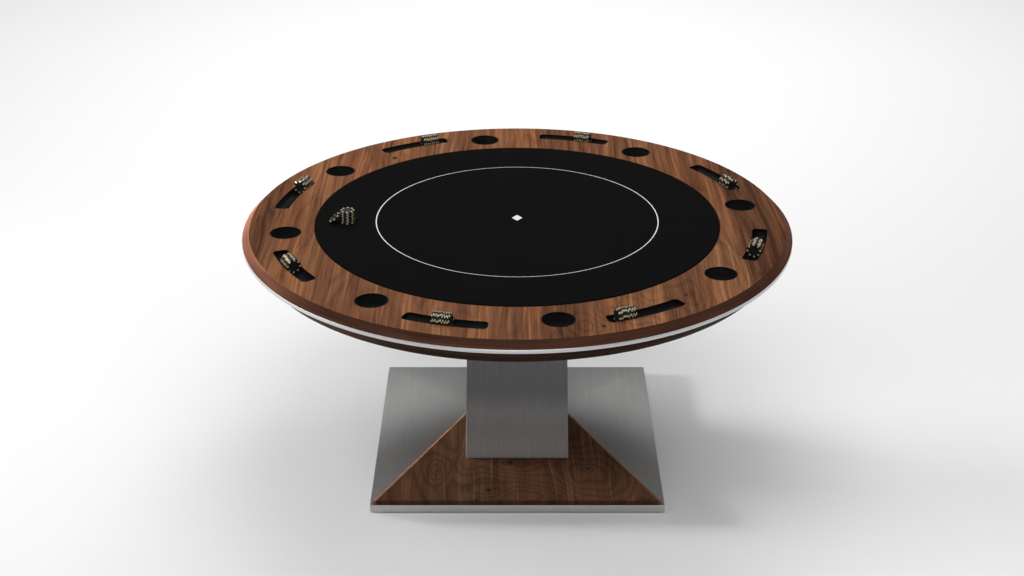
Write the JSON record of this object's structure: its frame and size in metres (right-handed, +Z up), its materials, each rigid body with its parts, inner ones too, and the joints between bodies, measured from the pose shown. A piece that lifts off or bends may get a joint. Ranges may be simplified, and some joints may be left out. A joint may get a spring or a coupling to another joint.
{
  "type": "round poker table",
  "caption": "Round walnut poker table with cup holders, curved chip trays with chips, black cloth playing surface and a brushed steel pedestal.",
  "frame": {"origin": "on the floor under the centre of the table and of its base plate", "axes": "+Z up, +Y towards the side that the base's walnut triangle points to, +X to the right when facing +Y"},
  "size_m": [1.524, 1.524, 0.7491],
  "materials": {
    "rail_walnut": "satin oiled walnut boards",
    "black_cloth": "matt fine-woven cloth",
    "board_ply": "bare plywood",
    "trim_steel": "bright brushed",
    "apron_walnut": "dark satin walnut",
    "tray_black": "black satin",
    "cup_black": "black satin",
    "chip_black": "black moulded with cream edge spots",
    "fastener_steel": "zinc plated",
    "black_steel": "black powder coat",
    "foot_rubber": "black moulded foot",
    "column_steel": "vertical brushing",
    "base_steel": "brushed front to back",
    "base_walnut": "satin figured walnut"
  },
  "bodies": {
    "table": {"walnut_rail": "rail_walnut", "speed_cloth": "black_cloth", "playfield_board": "board_ply", "steel_trim_band": "trim_steel", "apron_ring": "apron_walnut", "subtop_panel": "board_ply", "chip_tray_1": "tray_black", "chip_tray_2": "tray_black", "chip_tray_3": "tray_black", "chip_tray_4": "tray_black", "chip_tray_5": "tray_black", "chip_tray_6": "tray_black", "chip_tray_7": "tray_black", "chip_tray_8": "tray_black", "top_mount_plate": "black_steel", "mount_screw_1": "fastener_steel", "mount_screw_2": "fastener_steel", "mount_screw_3": "fastener_steel", "mount_screw_4": "fastener_steel", "mount_screw_5": "fastener_steel", "mount_screw_6": "fastener_steel", "mount_screw_7": "fastener_steel", "mount_screw_8": "fastener_steel", "column_shell": "column_steel", "column_head_flange": "black_steel", "head_bolt_1": "fastener_steel", "head_bolt_2": "fastener_steel", "head_bolt_3": "fastener_steel", "head_bolt_4": "fastener_steel", "column_foot_flange": "black_steel", "foot_bolt_1": "fastener_steel", "foot_bolt_2": "fastener_steel", "foot_bolt_3": "fastener_steel", "foot_bolt_4": "fastener_steel", "base_shell": "base_steel", "base_ballast_plate": "black_steel", "base_walnut_front": "base_walnut", "base_walnut_apex": "base_walnut"},
    "cup_1": {"cup_holder_1": "cup_black"},
    "cup_2": {"cup_holder_2": "cup_black"},
    "cup_3": {"cup_holder_3": "cup_black"},
    "cup_4": {"cup_holder_4": "cup_black"},
    "cup_5": {"cup_holder_5": "cup_black"},
    "cup_6": {"cup_holder_6": "cup_black"},
    "cup_7": {"cup_holder_7": "cup_black"},
    "cup_8": {"cup_holder_8": "cup_black"},
    "roll_1": {"chip_roll_1": "chip_black"},
    "roll_2": {"chip_roll_2": "chip_black"},
    "roll_3": {"chip_roll_3": "chip_black"},
    "roll_4": {"chip_roll_4": "chip_black"},
    "roll_5": {"chip_roll_5": "chip_black"},
    "roll_6": {"chip_roll_6": "chip_black"},
    "roll_7": {"chip_roll_7": "chip_black"},
    "roll_8": {"chip_roll_8": "chip_black"},
    "stack": {"chip_stack": "chip_black"},
    "lone_chip": {"leaning_chip": "chip_black"},
    "foot_1": {"level_foot_1": "foot_rubber"},
    "foot_2": {"level_foot_2": "foot_rubber"},
    "foot_3": {"level_foot_3": "foot_rubber"},
    "foot_4": {"level_foot_4": "foot_rubber"}
  },
  "joints": [
    {"name": "cup_1_lift", "type": "slide", "parent": "table", "child": "cup_1", "axis": [0, 0, 1], "range_m": [0, 0.08]},
    {"name": "cup_2_lift", "type": "slide", "parent": "table", "child": "cup_2", "axis": [0, 0, 1], "range_m": [0, 0.08]},
    {"name": "cup_3_lift", "type": "slide", "parent": "table", "child": "cup_3", "axis": [0, 0, 1], "range_m": [0, 0.08]},
    {"name": "cup_4_lift", "type": "slide", "parent": "table", "child": "cup_4", "axis": [0, 0, 1], "range_m": [0, 0.08]},
    {"name": "cup_5_lift", "type": "slide", "parent": "table", "child": "cup_5", "axis": [0, 0, 1], "range_m": [0, 0.08]},
    {"name": "cup_6_lift", "type": "slide", "parent": "table", "child": "cup_6", "axis": [0, 0, 1], "range_m": [0, 0.08]},
    {"name": "cup_7_lift", "type": "slide", "parent": "table", "child": "cup_7", "axis": [0, 0, 1], "range_m": [0, 0.08]},
    {"name": "cup_8_lift", "type": "slide", "parent": "table", "child": "cup_8", "axis": [0, 0, 1], "range_m": [0, 0.08]},
    {"name": "roll_1_slide", "type": "hinge", "parent": "table", "child": "roll_1", "pos_m": [0, 0, 0.7145], "axis": [0, 0, 1], "range_deg": [-1.05, 11.45]},
    {"name": "roll_2_slide", "type": "hinge", "parent": "table", "child": "roll_2", "pos_m": [0, 0, 0.7145], "axis": [0, 0, 1], "range_deg": [-3.45, 9.05]},
    {"name": "roll_3_slide", "type": "hinge", "parent": "table", "child": "roll_3", "pos_m": [0, 0, 0.7145], "axis": [0, 0, 1], "range_deg": [-0.45, 12.05]},
    {"name": "roll_4_slide", "type": "hinge", "parent": "table", "child": "roll_4", "pos_m": [0, 0, 0.7145], "axis": [0, 0, 1], "range_deg": [-3.75, 8.75]},
    {"name": "roll_5_slide", "type": "hinge", "parent": "table", "child": "roll_5", "pos_m": [0, 0, 0.7145], "axis": [0, 0, 1], "range_deg": [-1.85, 10.65]},
    {"name": "roll_6_slide", "type": "hinge", "parent": "table", "child": "roll_6", "pos_m": [0, 0, 0.7145], "axis": [0, 0, 1], "range_deg": [-0.25, 12.25]},
    {"name": "roll_7_slide", "type": "hinge", "parent": "table", "child": "roll_7", "pos_m": [0, 0, 0.7145], "axis": [0, 0, 1], "range_deg": [-5.65, 6.85]},
    {"name": "roll_8_slide", "type": "hinge", "parent": "table", "child": "roll_8", "pos_m": [0, 0, 0.7145], "axis": [0, 0, 1], "range_deg": [-5.75, 6.75]},
    {"name": "stack_lift", "type": "slide", "parent": "table", "child": "stack", "axis": [0, 0, 1], "range_m": [0, 0.06]},
    {"name": "leaning_chip_lift", "type": "slide", "parent": "table", "child": "lone_chip", "axis": [0, 0, 1], "range_m": [0, 0.06]},
    {"name": "foot_1_screw_out", "type": "slide", "parent": "table", "child": "foot_1", "axis": [0, 0, -1], "range_m": [0, 0.007]},
    {"name": "foot_2_screw_out", "type": "slide", "parent": "table", "child": "foot_2", "axis": [0, 0, -1], "range_m": [0, 0.007]},
    {"name": "foot_3_screw_out", "type": "slide", "parent": "table", "child": "foot_3", "axis": [0, 0, -1], "range_m": [0, 0.007]},
    {"name": "foot_4_screw_out", "type": "slide", "parent": "table", "child": "foot_4", "axis": [0, 0, -1], "range_m": [0, 0.007]}
  ]
}
